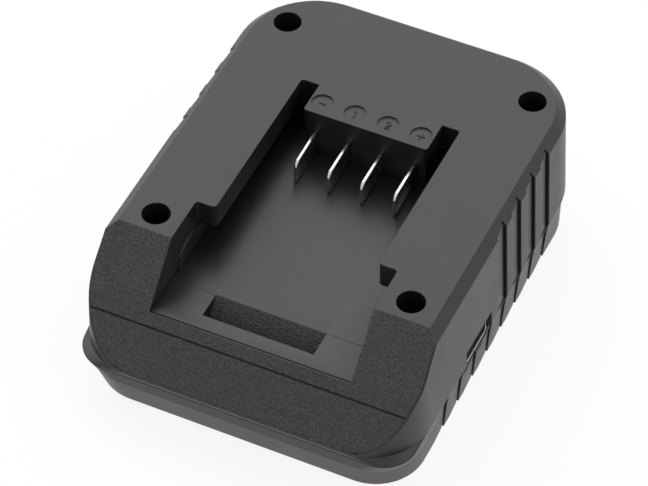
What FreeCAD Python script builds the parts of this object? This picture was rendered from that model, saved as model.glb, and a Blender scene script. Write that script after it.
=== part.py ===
"""Slide-in battery charging dock with a moulded two-part case.

Millimetres. X points to the right, Y to the rear, Z up. The origin is at the
centre of the footprint, on the surface that the rubber feet stand on.
"""
import FreeCAD, Part
import math
import os

V = FreeCAD.Vector

# Case outline, seen from above, at its widest line
case_width = 85.0
case_length = 111.2
front_corner_radius = 15.0
rear_corner_radius = 20.5
shoulder_front_radius = 14.0

# Corner radii at the parting line, the crease of the base and its underside
rim_front_radius = 8.6
rim_rear_radius = 20.2
toe_front_radius = 12.2
toe_rear_radius = 19.5
sole_front_radius = 13.8
sole_rear_radius = 18.0

# Case heights
foot_height = 1.5
base_height = 11.8
cover_height = 27.2
wall = 2.2
base_floor = 2.0

# Cover walls: widest belt, leaning sides, chamfered shoulder
belt_height = 1.35
belt_land = 0.4
cover_tuck = 0.45
side_lean = 1.0
shoulder_width = 2.5
shoulder_drop = 2.4

# Base walls
base_tuck = 0.5
base_lean = 1.0
toe_lean = 0.6
toe_height = 7.9
toe_setback = 1.9
parting_chamfer = 0.3

# Sloping textured face at the front of the cover
face_top_setback = 21.5
ridge_setback = 9.45
ridge_drop = 12.7
crease_drop = 15.7
crease_width = 0.3
crease_depth = 0.25
edge_groove_width = 0.35
edge_groove_depth = 0.5
edge_groove_rise = 0.4

# Battery pocket, open to the front
pocket_depth = 13.0
pocket_half_width = 25.4
rear_gap = 30.8
lip_half_gap = 20.5
lip_thickness = 6.8
lip_length = 46.2
lip_corner_radius = 1.2
slot_corner_radius = 0.8
guide_thickness = 0.4
guide_drop = 7.4
guide_overrun = 9.8
guide_nose_drop = 3.0

# Terminal block at the rear of the pocket
block_half_width = 15.9
block_depth = 8.9
apron_height = 6.0
disc_radius = 2.7
disc_depth = 0.4
disc_setback = 3.85

# Latch recess in the pocket floor
latch_half_width = 14.0
latch_length = 6.8
latch_front_setback = 13.7
latch_depth = 6.0
latch_ramp_length = 4.6
latch_wall = 1.6

# Pocket floor: a separate tray with the latch recess
tray_thickness = 2.0
tray_margin = 1.2
tray_front_gap = 0.25
tray_wall_gap = 0.2
tray_front_setback = 9.85
tray_leg_x = 9.0
tray_leg_width = 3.0

# Grip strips on the side walls
grip_pitch = 8.4
grip_strip = 4.9
grip_front_depth = 0.35
grip_rear_depth = 0.75
grip_slot_width = 0.55
grip_slot_depth = 1.3
cover_grip_count = 4
cover_grip_rear_setback = 26.7
base_grip_count = 8
base_grip_rear_setback = 25.5
base_grip_front_depth = 0.15
base_grip_rear_depth = 0.45
base_grip_top_gap = 0.5

# Case screws, deep in four round wells
screw_spacing_x = 64.0
screw_spacing_y = 69.8
screw_row_rear_setback = 14.6
well_radius = 3.4
boss_radius = 5.2
boss_foot_gap = 0.5
seat_thickness = 3.0
screw_head_radius = 2.8
screw_head_height = 2.0
screw_shank_radius = 1.45
screw_length = 12.0
post_radius = 4.2
part_gap = 0.1
hole_clearance = 0.25
thread_clearance = 0.05

# Circuit board and its screws
board_thickness = 1.6
board_height = 10.7
board_half_width = 36.0
board_front_setback = 16.6
board_rear_setback = 8.6
board_corner_notch = 6.2
board_screw_x = 22.0
board_screw_inset_front = 6.0
board_screw_inset_rear = 11.0
board_post_radius = 3.0
board_screw_shank_radius = 1.1
board_screw_head_radius = 2.2
board_screw_head_height = 1.6
board_screw_length = 6.0
sheet_thickness = 0.4
sheet_margin = 1.0

# Terminal blades and their holder
blade_pitch = 8.5
blade_thickness = 0.8
blade_reach = 11.25
blade_top_gap = 0.1
blade_tip_chamfer = 1.4
blade_tip_drop = 0.3
blade_floor_gap = 0.3
blade_root_depth = 5.0
tail_width = 3.0
tail_setback = 1.2
tail_stub = 0.6
holder_step = 0.35
holder_clearance = 0.2
holder_flange_thickness = 3.0
holder_flange_margin = 6.0
holder_leg_width = 4.0

# Side socket
socket_rear_setback = 68.3
socket_opening_length = 14.4
socket_opening_height = 7.2
socket_shell_width = 13.2
socket_shell_height = 5.7
socket_shell_depth = 14.0
socket_shell_wall = 0.35
socket_recess = 0.9
socket_drop = 0.9
socket_bevel = 1.1
tongue_width = 11.1
tongue_thickness = 1.8
tongue_length = 9.0
tongue_base_length = 3.0
contact_count = 4
contact_pitch = 2.4
contact_width = 1.0
contact_thickness = 0.2

# Power inlet in the rear wall
inlet_x = -14.0
inlet_width = 9.0
inlet_depth = 13.0
inlet_height = 11.0
inlet_axis_height = 6.8
inlet_nose_radius = 3.8
inlet_bore_radius = 3.1
inlet_bore_depth = 9.0
inlet_pin_radius = 1.0
inlet_pin_length = 8.0
inlet_recess = 0.4
inlet_wall_gap = 0.8

# Rubber feet
foot_radius = 5.0
foot_recess = 0.5
foot_x = 29.0
foot_setback = 17.6

# Parts that stand on the board
coil_x = 20.0
coil_ahead = 18.8
coil_flange_radius = 8.0
coil_hub_radius = 4.0
coil_flange_thickness = 1.5
coil_height = 10.0
winding_radius = 7.2
capacitor_radius = 5.0
capacitor_height = 11.0
capacitor_x = -27.0
capacitor_behind = 13.0
capacitor_pitch = 12.0
capacitor_count = 3
switch_length = 6.5
switch_width = 6.1
switch_height = 2.3
switch_pitch = 9.0
switch_setback = 37.6
pad_thickness = 0.5
sink_length = 20.0
sink_width = 12.0
sink_base = 2.0
sink_height = 8.0
sink_fins = 6
sink_fin_thickness = 1.0
ceramic_size = (2.0, 1.25, 1.0)
ceramic_x = -2.0
ceramic_pitch = 3.5
ceramic_count = 5
ceramic_rows = (3.2, 17.2)

bottom = foot_height
parting = bottom + base_height
top = parting + cover_height
belt = parting + belt_height
shoulder = top - shoulder_drop
front = -case_length / 2
rear = case_length / 2
half_width = case_width / 2
face_top = front + face_top_setback
ridge_y = front + ridge_setback
ridge_z = top - ridge_drop
pocket_floor = top - pocket_depth
pocket_rear = rear - rear_gap
lip_front = pocket_rear - lip_length
block_front = pocket_rear - block_depth
screw_rear = rear - screw_row_rear_setback
screw_front = screw_rear - screw_spacing_y
cover_boss_foot = parting + boss_foot_gap
screw_seat = cover_boss_foot + seat_thickness
floor_top = bottom + base_floor
board_top = bottom + board_height
board_bottom = board_top - board_thickness
board_front = front + board_front_setback
board_rear = rear - board_rear_setback
socket_centre_y = rear - socket_rear_setback
tray_low = pocket_floor - tray_thickness
tray_front = front + tray_front_setback
coil_y = pocket_rear - coil_ahead
switch_y = front + switch_setback
rim_corners = (0.0, rim_front_radius, rim_rear_radius)
toe_corners = (0.0, toe_front_radius, toe_rear_radius)
sole_corners = (toe_setback, sole_front_radius, sole_rear_radius)
shoulder_corners = (0.0, shoulder_front_radius)

# Blocks on the board: x, y, then length, width and height
block_parts = {
    "control_chip": (5.0, pocket_rear + 10.2, 7.0, 7.0, 1.2),
    "socket_chip": (20.0, socket_centre_y, 5.0, 4.0, 1.4),
    "fuse": (-14.0, pocket_rear + 7.2, 2.7, 6.1, 2.2),
    "current_shunt": (-2.0, pocket_rear - 16.8, 6.4, 3.2, 0.8),
}


def box(x0, x1, y0, y1, z0, z1):
    return Part.makeBox(x1 - x0, y1 - y0, z1 - z0, V(x0, y0, z0))


def rod(x, y, z0, z1, radius):
    return Part.makeCylinder(radius, z1 - z0, V(x, y, z0))


def join(shapes):
    result = shapes[0]
    for shape in shapes[1:]:
        result = result.fuse(shape)
    return result.removeSplitter()


def outline(z, inset, front_extra=0.0, front_radius=front_corner_radius, rear_radius=rear_corner_radius):
    """Rounded rectangle of the case at height z, inset from its widest line."""
    hw = half_width - inset
    y0 = front + inset + front_extra
    y1 = rear - inset
    rf = front_radius - inset
    rr = rear_radius - inset
    k = math.sqrt(0.5)
    corners = [
        (V(hw, y0 + rf, z), V(hw - rf + rf * k, y0 + rf - rf * k, z), V(hw - rf, y0, z)),
        (V(-hw + rf, y0, z), V(-hw + rf - rf * k, y0 + rf - rf * k, z), V(-hw, y0 + rf, z)),
        (V(-hw, y1 - rr, z), V(-hw + rr - rr * k, y1 - rr + rr * k, z), V(-hw + rr, y1, z)),
        (V(hw - rr, y1, z), V(hw - rr + rr * k, y1 - rr + rr * k, z), V(hw, y1 - rr, z)),
    ]
    edges = []
    for index, (start, middle, end) in enumerate(corners):
        edges.append(Part.Arc(start, middle, end).toShape())
        edges.append(Part.LineSegment(end, corners[(index + 1) % 4][0]).toShape())
    return Part.Wire(edges)


def stack(sections):
    """Solid with straight walls between outlines, each given by the values of outline()."""
    wires = [outline(*section) for section in sections]
    return Part.makeLoft(wires, True, True)


def side_prism(points, x0, x1):
    """Polygon of (y, z) points carried from x0 to x1."""
    corners = [V(x0, y, z) for y, z in points]
    face = Part.Face(Part.makePolygon(corners + corners[:1]))
    return face.extrude(V(x1 - x0, 0, 0))


def front_cutter(shift):
    """Space in front of the two slopes, moved down by shift."""
    slope = (ridge_z - belt) / ridge_setback
    below = 3.0
    reach = 30.0
    start_rise = 5.0
    top_slope = ridge_drop / (face_top_setback - ridge_setback)
    points = [
        (face_top + start_rise / top_slope, top + start_rise - shift),
        (ridge_y, ridge_z - shift),
        (front - below / slope, belt - below - shift),
        (front - reach, belt - below - shift),
        (front - reach, top + start_rise + shift),
        (face_top + start_rise / top_slope, top + start_rise + shift),
    ]
    return side_prism(points, -case_width, case_width)


def cover_shell(inset, low, high):
    """The cover's outer form, inset all round, between two heights."""
    land = belt_land / 2
    top_inset = side_lean + shoulder_width * (high - shoulder) / shoulder_drop
    return stack([
        (low, cover_tuck + inset, *rim_corners),
        (belt - land, inset),
        (belt + land, inset),
        (shoulder, side_lean + inset, *shoulder_corners),
        (high, top_inset + inset, *shoulder_corners),
    ])


def cover_walls():
    """Heights and insets that the cover's side walls follow, carried up past the shoulder."""
    land = belt_land / 2
    rise = 1.5
    lean_top = side_lean * (shoulder + rise - belt) / (shoulder - belt)
    return [(parting, cover_tuck), (belt - land, 0.0), (belt + land, 0.0), (shoulder + rise, lean_top)]


def base_walls():
    rim = parting - base_grip_top_gap
    return [(bottom - wall, base_lean + toe_lean), (bottom + toe_height, base_lean), (rim, base_tuck)]


def grip_cutters(rear_edge, count, width, front_depth, rear_depth, walls):
    """One wedge per grip in both side walls, ending at its rear edge."""
    cutters = []
    for index in range(count):
        y1 = rear_edge - index * grip_pitch
        y0 = y1 - width
        for side in (-1, 1):
            wires = []
            for z, inset in walls:
                face = half_width - inset
                corners = [
                    V(side * (half_width + wall), y0, z),
                    V(side * (face - front_depth), y0, z),
                    V(side * (face - rear_depth), y1, z),
                    V(side * (half_width + wall), y1, z),
                ]
                wires.append(Part.makePolygon(corners + corners[:1]))
            cutters.append(Part.makeLoft(wires, True, True))
    return Part.makeCompound(cutters)


def front_face_details():
    """Shadow groove along the edge of the slopes, and the crease across them."""
    face = cover_shell(edge_groove_width, parting, top)
    rim = cover_shell(0.0, parting, top).cut(face)
    zone = box(-case_width, case_width, front - wall, face_top, belt + edge_groove_rise, shoulder)
    groove = rim.common(front_cutter(edge_groove_depth)).common(zone)
    slope = (ridge_z - belt) / ridge_setback
    crease_z = top - crease_drop
    crease_y = ridge_y - (ridge_z - crease_z) / slope
    rise = crease_width * slope / 2
    points = [
        (crease_y + crease_width / 2, crease_z + rise),
        (crease_y - crease_width / 2, crease_z - rise),
        (crease_y + crease_depth, crease_z - crease_depth),
    ]
    crease = side_prism(points, -half_width, half_width).common(face)
    return groove, crease


def round_upright(shape, y, radius):
    """Round the upright edges that a box has at y."""
    edges = [
        edge for edge in shape.Edges
        if abs(edge.CenterOfMass.y - y) < part_gap
        and abs(edge.Vertexes[0].Z - edge.Vertexes[1].Z) > part_gap
    ]
    return shape.makeFillet(radius, edges)


def pocket_space():
    """Room for the battery foot: floor, undercuts below the lips and the wide mouth."""
    low = pocket_floor
    y0 = front - wall
    r = slot_corner_radius
    throat = round_upright(box(-lip_half_gap, lip_half_gap, y0, pocket_rear, low, top + wall), pocket_rear, r)
    undercut = box(-pocket_half_width, pocket_half_width, y0, pocket_rear, low, top - lip_thickness)
    mouth = box(-pocket_half_width, pocket_half_width, y0, lip_front, low, top + wall)
    space = join([throat, undercut, round_upright(mouth, lip_front, r)])
    block = box(-block_half_width, block_half_width, block_front, pocket_rear, top - apron_height, top + wall)
    return space.cut(round_upright(block, block_front, r))


def lip_roundings():
    """Small fillets on the vertical front corners of both lips."""
    r = lip_corner_radius
    result = []
    for side in (-1, 1):
        x = side * lip_half_gap
        x0, x1 = sorted((x, x + side * r))
        corner = box(x0, x1, lip_front, lip_front + r, top - lip_thickness, top)
        rounding = rod(x + side * r, lip_front + r, top - lip_thickness, top, r)
        result.append(corner.cut(rounding))
    return Part.makeCompound(result)


def guides():
    """Thin raised guides on the pocket walls, with a curved nose at the front."""
    high = top - guide_drop
    nose_y = lip_front - guide_overrun
    low = high - guide_nose_drop
    steps = 8
    points = [(pocket_rear, pocket_floor), (pocket_rear, high), (lip_front - 2.0, high)]
    span = lip_front - 2.0 - nose_y
    for step in range(1, steps + 1):
        angle = math.pi / 2 * step / steps
        points.append((lip_front - 2.0 - span * math.sin(angle), low + guide_nose_drop * math.cos(angle)))
    points.append((nose_y - (low - pocket_floor) * 0.3, pocket_floor))
    right = side_prism(points, pocket_half_width - guide_thickness, pocket_half_width + wall / 2)
    left = side_prism(points, -pocket_half_width - wall / 2, -pocket_half_width + guide_thickness)
    return right, left


def latch_space(grow):
    """Wedge below the pocket floor: ramp from the rear, flat bottom, upright front."""
    y0 = front + latch_front_setback
    y1 = y0 + latch_length
    deep = pocket_floor - latch_depth
    points = [
        (y1 + grow, pocket_floor),
        (y1 - latch_ramp_length, deep - grow),
        (y0 - grow, deep - grow),
        (y0 - grow, pocket_floor),
    ]
    half = latch_half_width + grow
    return side_prism(points, -half, half)


def pocket_skin():
    """Plastic that the pocket's walls, lips and block are formed in."""
    outer_half = pocket_half_width + wall
    return box(-outer_half, outer_half, front - wall, pocket_rear + wall, pocket_floor, top)


def tray_space(margin):
    """The tray's plate, grown by a margin except at its front edge."""
    half = pocket_half_width + tray_margin + margin
    y0 = tray_front
    y1 = pocket_rear + tray_margin + margin
    return box(-half, half, y0, y1, tray_low - margin, pocket_floor + margin)


def holder_room(margin):
    half = block_half_width - holder_step + margin
    y0 = block_front + holder_step - margin
    y1 = pocket_rear - holder_step + margin
    return half, y0, y1


def screw_places():
    half = screw_spacing_x / 2
    return [(x, y) for x in (-half, half) for y in (screw_front, screw_rear)]


def socket_opening():
    y0 = socket_centre_y - socket_opening_length / 2
    y1 = socket_centre_y + socket_opening_length / 2
    x0 = half_width - cover_tuck - 2 * wall
    z0 = board_top - socket_drop
    return box(x0, half_width + wall, y0, y1, z0, z0 + socket_opening_height)


def upper_cover():
    low = parting - wall
    outer = cover_shell(0.0, parting, top)
    slopes = front_cutter(0.0)
    space = stack([
        (low, cover_tuck + wall, *rim_corners),
        (parting, cover_tuck + wall, *rim_corners),
        (belt, wall),
        (shoulder, side_lean + wall, *shoulder_corners),
        (top - wall, side_lean + shoulder_width * 0.5 + wall, *shoulder_corners),
    ])
    slope_skin = front_cutter(wall * 1.55)
    space = space.cut(slope_skin).cut(pocket_skin())
    for x, y in screw_places():
        space = space.cut(rod(x, y, cover_boss_foot, top, boss_radius))
    cover = outer.cut(slopes).cut(pocket_space()).cut(space)
    right, left = guides()
    pocket_front = front_cutter(0.0)
    cover = cover.fuse(right.cut(pocket_front)).fuse(left.cut(pocket_front))
    cover = cover.cut(lip_roundings())
    room = tray_space(tray_wall_gap)
    room = room.fuse(room.translated(V(0, -tray_front_gap, 0)))
    cover = cover.cut(room)
    for x in blade_places():
        disc = rod(x, block_front + disc_setback, top - disc_depth, top + wall, disc_radius)
        cover = cover.cut(disc)
    for x, y in screw_places():
        cover = cover.cut(rod(x, y, screw_seat, top + wall, well_radius))
        cover = cover.cut(rod(x, y, low, screw_seat, screw_shank_radius + hole_clearance))
    edge = rear - cover_grip_rear_setback
    strips = grip_cutters(
        edge, cover_grip_count, grip_strip, grip_front_depth, grip_rear_depth, cover_walls()
    )
    slots = grip_cutters(
        edge, cover_grip_count, grip_slot_width, grip_slot_depth, grip_slot_depth, cover_walls()
    )
    cover = cover.cut(strips).cut(slots)
    groove, crease = front_face_details()
    cover = cover.cut(groove).cut(crease)
    cover = cover.cut(socket_opening())
    axis_z = board_top + inlet_axis_height
    hole = Part.makeCylinder(
        inlet_nose_radius + hole_clearance, 4 * wall, V(inlet_x, rear - 3 * wall, axis_z), V(0, 1, 0)
    )
    return cover.cut(hole)


def pocket_tray():
    """Pocket floor with the latch recess, on two legs that stand on the board."""
    tray = tray_space(0.0).fuse(latch_space(latch_wall))
    half, y0, y1 = holder_room(holder_clearance)
    tray = tray.cut(box(-half, half, y0, y1, tray_low - wall, pocket_floor + wall))
    for side in (-1, 1):
        x0, x1 = sorted((side * tray_leg_x, side * (tray_leg_x + tray_leg_width)))
        tray = tray.fuse(box(x0, x1, board_front, board_front + tray_leg_width, board_top, tray_low))
    return tray.cut(latch_space(0.0)).removeSplitter()


def base_cover():
    rim = parting - part_gap
    outer = stack([
        (bottom, base_lean + toe_lean, *sole_corners),
        (bottom + toe_height, base_lean, *toe_corners),
        (rim - parting_chamfer, base_tuck, *rim_corners),
        (rim, base_tuck + parting_chamfer, *rim_corners),
    ])
    inset = base_lean + toe_lean + wall
    room = stack([
        (floor_top, inset, *sole_corners),
        (bottom + toe_height, inset, *toe_corners),
        (parting + wall, inset, *rim_corners),
    ])
    base = outer.cut(room)
    for x, y in screw_places():
        base = base.fuse(rod(x, y, bottom, cover_boss_foot - part_gap, post_radius))
    for x, y in board_screw_places():
        base = base.fuse(rod(x, y, bottom, board_bottom, board_post_radius))
    for x, y in screw_places():
        pilot = screw_shank_radius + thread_clearance
        base = base.cut(rod(x, y, floor_top, cover_boss_foot + wall, pilot))
    for x, y in board_screw_places():
        pilot = board_screw_shank_radius + thread_clearance
        base = base.cut(rod(x, y, floor_top, board_top, pilot))
    for x, y in foot_places():
        base = base.cut(rod(x, y, bottom - wall, bottom + foot_recess, foot_radius + hole_clearance))
    edge = rear - base_grip_rear_setback
    strips = grip_cutters(
        edge, base_grip_count, grip_strip, base_grip_front_depth, base_grip_rear_depth, base_walls()
    )
    slots = grip_cutters(
        edge, base_grip_count, grip_slot_width, grip_slot_depth, grip_slot_depth, base_walls()
    )
    base = base.cut(strips).cut(slots)
    opening = socket_opening()
    low = opening.BoundBox.ZMin
    y0 = opening.BoundBox.YMin
    y1 = opening.BoundBox.YMax
    edge = half_width - base_lean
    bevel = Part.makePolygon([
        V(edge - socket_bevel * 2, y0, low),
        V(edge + wall, y0, low),
        V(edge + wall, y0, low - socket_bevel - wall * 0.5),
        V(edge - socket_bevel * 2, y0, low),
    ])
    return base.cut(opening).cut(Part.Face(bevel).extrude(V(0, y1 - y0, 0)))


def blade_places():
    return [(index - 1.5) * blade_pitch for index in range(4)]


def blade(x):
    """Upright contact blade: fin in the pocket, root in the holder, tail to the board."""
    tip = block_front - blade_reach
    low = pocket_floor + blade_floor_gap
    high = top - apron_height - part_gap - blade_top_gap
    root = block_front + holder_step + blade_root_depth
    tail_rear = root - tail_setback
    tail_front = tail_rear - tail_width
    chamfer = blade_tip_chamfer
    points = [
        (tip, low),
        (tip, high - blade_tip_drop - chamfer),
        (tip + chamfer * 0.35, high - blade_tip_drop - chamfer * 0.4),
        (tip + chamfer, high - blade_tip_drop),
        (block_front + holder_step, high),
        (root, high),
        (root, low),
        (tail_rear, low),
        (tail_rear, board_bottom - tail_stub),
        (tail_front, board_bottom - tail_stub),
        (tail_front, low),
    ]
    return side_prism(points, x - blade_thickness / 2, x + blade_thickness / 2)


def terminal_holder():
    half, y0, y1 = holder_room(0.0)
    high = top - apron_height - part_gap
    flange_high = tray_low
    flange_low = flange_high - holder_flange_thickness
    flange_half = half + holder_flange_margin
    body = box(-half, half, y0, y1, flange_low, high)
    flange = box(-flange_half, flange_half, y0, y1, flange_low, flange_high)
    legs = []
    for side in (-1, 1):
        x0, x1 = sorted((side * flange_half, side * (flange_half - holder_leg_width)))
        legs.append(box(x0, x1, y0, y1, board_top, flange_low))
    holder = join([body, flange] + legs)
    play = thread_clearance
    low = pocket_floor + blade_floor_gap
    root = block_front + holder_step + blade_root_depth
    tail_rear = root - tail_setback
    tail_front = tail_rear - tail_width
    for x in blade_places():
        x0 = x - blade_thickness / 2 - play
        x1 = x + blade_thickness / 2 + play
        holder = holder.cut(box(x0, x1, y0 - wall, root + play, low - play, high + wall))
        holder = holder.cut(box(x0, x1, tail_front - play, tail_rear + play, flange_low - wall, low))
    return holder


def board_screw_places():
    y0 = board_front + board_screw_inset_front
    y1 = board_rear - board_screw_inset_rear
    return [(x, y) for x in (-board_screw_x, board_screw_x) for y in (y0, y1)]


def foot_places():
    y = rear - foot_setback
    return [(-foot_x, -y), (-foot_x, y), (foot_x, -y), (foot_x, y)]


def circuit_board():
    board = box(-board_half_width, board_half_width, board_front, board_rear, board_bottom, board_top)
    for x, y in screw_places():
        side = 1 if x > 0 else -1
        x0, x1 = sorted((x - side * board_corner_notch, x + side * case_width))
        ahead = 1 if y > 0 else -1
        y0, y1 = sorted((y - ahead * board_corner_notch, y + ahead * case_length))
        board = board.cut(box(x0, x1, y0, y1, board_bottom - wall, board_top + wall))
    for x, y in board_screw_places():
        radius = board_screw_shank_radius + hole_clearance
        board = board.cut(rod(x, y, board_bottom - wall, board_top + wall, radius))
    root = block_front + holder_step + blade_root_depth
    tail_rear = root - tail_setback
    tail_front = tail_rear - tail_width
    play = hole_clearance
    for x in blade_places():
        x0 = x - blade_thickness / 2 - play
        x1 = x + blade_thickness / 2 + play
        slot = box(x0, x1, tail_front - play, tail_rear + play, board_bottom - wall, board_top + wall)
        board = board.cut(slot)
    return board


def pan_screw(x, y, seat, head_radius, head_height, shank_radius, length):
    """Pan head with a cross recess on a plain shank."""
    head = rod(x, y, seat, seat + head_height, head_radius)
    rim = min(0.4 * head_height, 0.4 * head_radius)
    head = head.makeChamfer(rim, [edge for edge in head.Edges if edge.CenterOfMass.z > seat + head_height - rim])
    shank = rod(x, y, seat - length, seat, shank_radius)
    screw = head.fuse(shank)
    arm = head_radius * 0.55
    slit = head_radius * 0.14
    deep = seat + head_height * 0.45
    high = seat + 2 * head_height
    screw = screw.cut(box(x - arm, x + arm, y - slit, y + slit, deep, high))
    return screw.cut(box(x - slit, x + slit, y - arm, y + arm, deep, high))


def case_screws():
    return Part.makeCompound([
        pan_screw(x, y, screw_seat, screw_head_radius, screw_head_height, screw_shank_radius, screw_length)
        for x, y in screw_places()
    ])


def board_screws():
    return Part.makeCompound([
        pan_screw(
            x, y, board_top, board_screw_head_radius, board_screw_head_height,
            board_screw_shank_radius, board_screw_length,
        )
        for x, y in board_screw_places()
    ])


def rubber_feet():
    feet = []
    for x, y in foot_places():
        foot = rod(x, y, 0.0, bottom + foot_recess, foot_radius)
        low_edges = [edge for edge in foot.Edges if edge.CenterOfMass.z < foot_height * 0.25]
        feet.append(foot.makeFillet(foot_height * 0.3, low_edges[:1]))
    return Part.makeCompound(feet)


def insulating_sheet():
    """Sheet between the base and the board, narrower than the space between the screw posts."""
    half = screw_spacing_x / 2 - post_radius - sheet_margin
    y0 = board_front + sheet_margin
    y1 = board_rear - board_corner_notch
    sheet = box(-half, half, y0, y1, floor_top, floor_top + sheet_thickness)
    for x, y in board_screw_places():
        sheet = sheet.cut(rod(x, y, bottom, parting, board_post_radius + hole_clearance))
    return sheet


def socket_face():
    return half_width - socket_recess - 0.2


def socket_shell():
    """Folded metal sleeve, open at both ends."""
    x1 = socket_face()
    x0 = x1 - socket_shell_depth
    y0 = socket_centre_y - socket_shell_width / 2
    y1 = socket_centre_y + socket_shell_width / 2
    z0 = board_top
    z1 = z0 + socket_shell_height
    t = socket_shell_wall
    outer = box(x0, x1, y0, y1, z0, z1)
    corner_edges = [
        edge for edge in outer.Edges
        if abs(edge.Vertexes[0].X - edge.Vertexes[1].X) > socket_shell_depth / 2
    ]
    outer = outer.makeFillet(2 * t, corner_edges)
    inner = box(x0 - t, x1 + t, y0 + t, y1 - t, z0 + t, z1 - t)
    inner_edges = [
        edge for edge in inner.Edges
        if abs(edge.Vertexes[0].X - edge.Vertexes[1].X) > socket_shell_depth / 2
    ]
    return outer.cut(inner.makeFillet(t, inner_edges))


def tongue_levels():
    t = socket_shell_wall
    high = board_top + socket_shell_height - t - part_gap
    return high - 1.2 - tongue_thickness, high - 1.2


def socket_tongue():
    """Plastic insert: a rear plug that fills the sleeve and a tongue in front of it."""
    t = socket_shell_wall + part_gap
    x0 = socket_face() - socket_shell_depth
    y0 = socket_centre_y - socket_shell_width / 2 + t
    y1 = socket_centre_y + socket_shell_width / 2 - t
    z0 = board_top + t
    z1 = board_top + socket_shell_height - t
    plug = box(x0, x0 + tongue_base_length, y0, y1, z0, z1)
    along = [
        edge for edge in plug.Edges
        if abs(edge.Vertexes[0].X - edge.Vertexes[1].X) > tongue_base_length / 2
    ]
    plug = plug.makeFillet(socket_shell_wall, along)
    low, high = tongue_levels()
    yc = socket_centre_y
    tongue = box(x0, x0 + tongue_base_length + tongue_length, yc - tongue_width / 2, yc + tongue_width / 2, low, high)
    return join([plug, tongue])


def socket_contacts():
    """Flat springs on the underside of the tongue."""
    low, high = tongue_levels()
    x0 = socket_face() - socket_shell_depth + tongue_base_length
    contacts = []
    for index in range(contact_count):
        y = socket_centre_y + (index - (contact_count - 1) / 2) * contact_pitch
        contacts.append(
            box(x0, x0 + tongue_length - 1.0, y - contact_width / 2, y + contact_width / 2, low - contact_thickness, low)
        )
    return Part.makeCompound(contacts)


def inlet_rear():
    return rear - wall - inlet_wall_gap


def inlet_body():
    """Moulded jack with a round nose that passes through the rear wall."""
    y1 = inlet_rear() - side_lean
    y0 = y1 - inlet_depth
    axis_z = board_top + inlet_axis_height
    half = inlet_width / 2
    body = box(inlet_x - half, inlet_x + half, y0, y1, board_top, board_top + inlet_height)
    nose_end = rear - side_lean * (axis_z - belt) / (shoulder - belt) - inlet_recess
    nose = Part.makeCylinder(inlet_nose_radius, nose_end - y1, V(inlet_x, y1, axis_z), V(0, 1, 0))
    bore_start = nose_end - inlet_bore_depth
    bore = Part.makeCylinder(inlet_bore_radius, inlet_bore_depth + wall, V(inlet_x, bore_start, axis_z), V(0, 1, 0))
    return join([body, nose]).cut(bore)


def inlet_pin():
    axis_z = board_top + inlet_axis_height
    nose_end = rear - side_lean * (axis_z - belt) / (shoulder - belt) - inlet_recess
    start = nose_end - inlet_bore_depth
    pin = Part.makeCylinder(inlet_pin_radius, inlet_pin_length, V(inlet_x, start, axis_z), V(0, 1, 0))
    tip = [edge for edge in pin.Edges if edge.CenterOfMass.y > start + inlet_pin_length * 0.9]
    return pin.makeFillet(inlet_pin_radius * 0.5, tip[:1])


def inductor_core():
    low = board_top
    high = low + coil_height
    t = coil_flange_thickness
    return join([
        rod(coil_x, coil_y, low, low + t, coil_flange_radius),
        rod(coil_x, coil_y, low + t, high - t, coil_hub_radius),
        rod(coil_x, coil_y, high - t, high, coil_flange_radius),
    ])


def inductor_winding():
    t = coil_flange_thickness
    low = board_top + t + part_gap
    high = board_top + coil_height - t - part_gap
    ring = rod(coil_x, coil_y, low, high, winding_radius)
    return ring.cut(rod(coil_x, coil_y, low - t, high + t, coil_hub_radius + part_gap))


def filter_capacitors():
    """Round cans with a rolled groove near the foot."""
    cans = []
    for index in range(capacitor_count):
        y = screw_front + capacitor_behind + index * capacitor_pitch
        can = rod(capacitor_x, y, board_top, board_top + capacitor_height, capacitor_radius)
        groove = Part.makeTorus(capacitor_radius + 0.2, 0.5, V(capacitor_x, y, board_top + 1.5))
        cans.append(can.cut(groove))
    return Part.makeCompound(cans)


def power_transistors():
    bodies = []
    for side in (-1, 1):
        x = side * switch_pitch / 2
        bodies.append(box(
            x - switch_length / 2, x + switch_length / 2,
            switch_y - switch_width / 2, switch_y + switch_width / 2,
            board_top, board_top + switch_height,
        ))
    return Part.makeCompound(bodies)


def thermal_pad():
    low = board_top + switch_height
    return box(
        -sink_length / 2 + 1.0, sink_length / 2 - 1.0,
        switch_y - sink_width / 2 + 1.0, switch_y + sink_width / 2 - 1.0,
        low, low + pad_thickness,
    )


def heat_sink():
    low = board_top + switch_height + pad_thickness
    y0 = switch_y - sink_width / 2
    y1 = switch_y + sink_width / 2
    half = sink_length / 2
    pieces = [box(-half, half, y0, y1, low, low + sink_base)]
    step = (sink_length - sink_fin_thickness) / (sink_fins - 1)
    for index in range(sink_fins):
        x0 = -half + index * step
        pieces.append(box(x0, x0 + sink_fin_thickness, y0, y1, low + sink_base, low + sink_height))
    return join(pieces)


def chip(x, y, length, width, height):
    return box(x - length / 2, x + length / 2, y - width / 2, y + width / 2, board_top, board_top + height)


def chip_capacitors():
    """Two rows of small ceramic capacitors beside the controller."""
    ceramics = []
    for setoff in ceramic_rows:
        for index in range(ceramic_count):
            ceramics.append(chip(ceramic_x + index * ceramic_pitch, pocket_rear + setoff, *ceramic_size))
    return Part.makeCompound(ceramics)


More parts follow.
